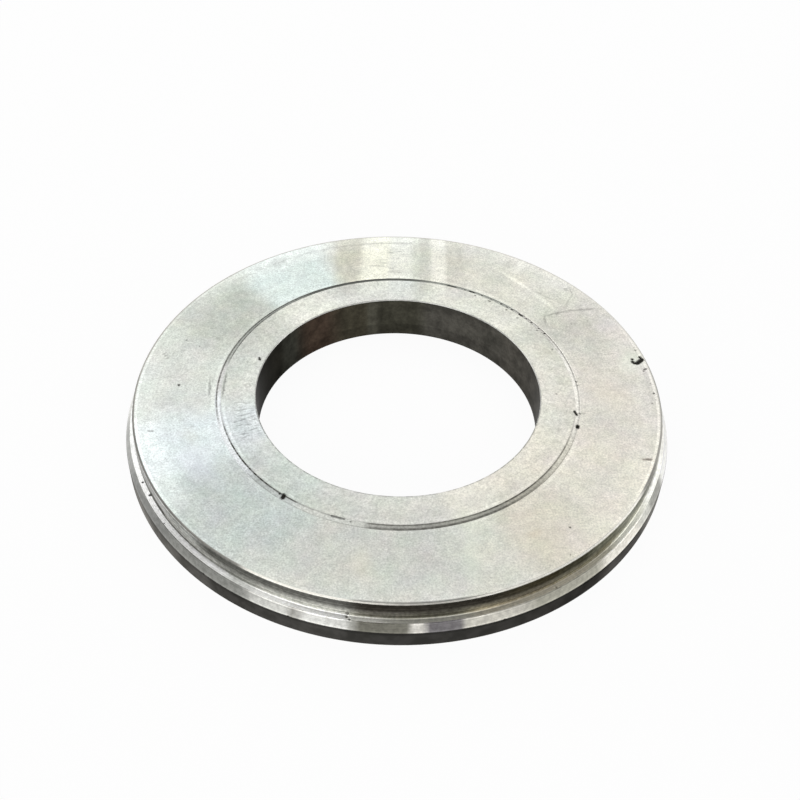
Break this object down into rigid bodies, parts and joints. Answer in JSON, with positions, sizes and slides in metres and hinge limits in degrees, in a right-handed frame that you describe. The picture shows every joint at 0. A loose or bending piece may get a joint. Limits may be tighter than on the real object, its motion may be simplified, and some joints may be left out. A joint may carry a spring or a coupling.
{
  "type": "slip-on flange",
  "caption": "Flat round steel ring with a straight pipe bore, a shallow raised gasket face and a stepped, bevelled outer rim, before it is drilled.",
  "frame": {"origin": "on the pipe axis, in the plane of the back face", "axes": "+Z along the pipe axis, out of the gasket face; X and Y are free, because the ring is round"},
  "size_m": [0.331, 0.331, 0.0296],
  "materials": {
    "turned_steel": "turned, dull, lightly marked"
  },
  "bodies": {
    "root": {"slip_on_flange": "turned_steel"}
  },
  "joints": []
}
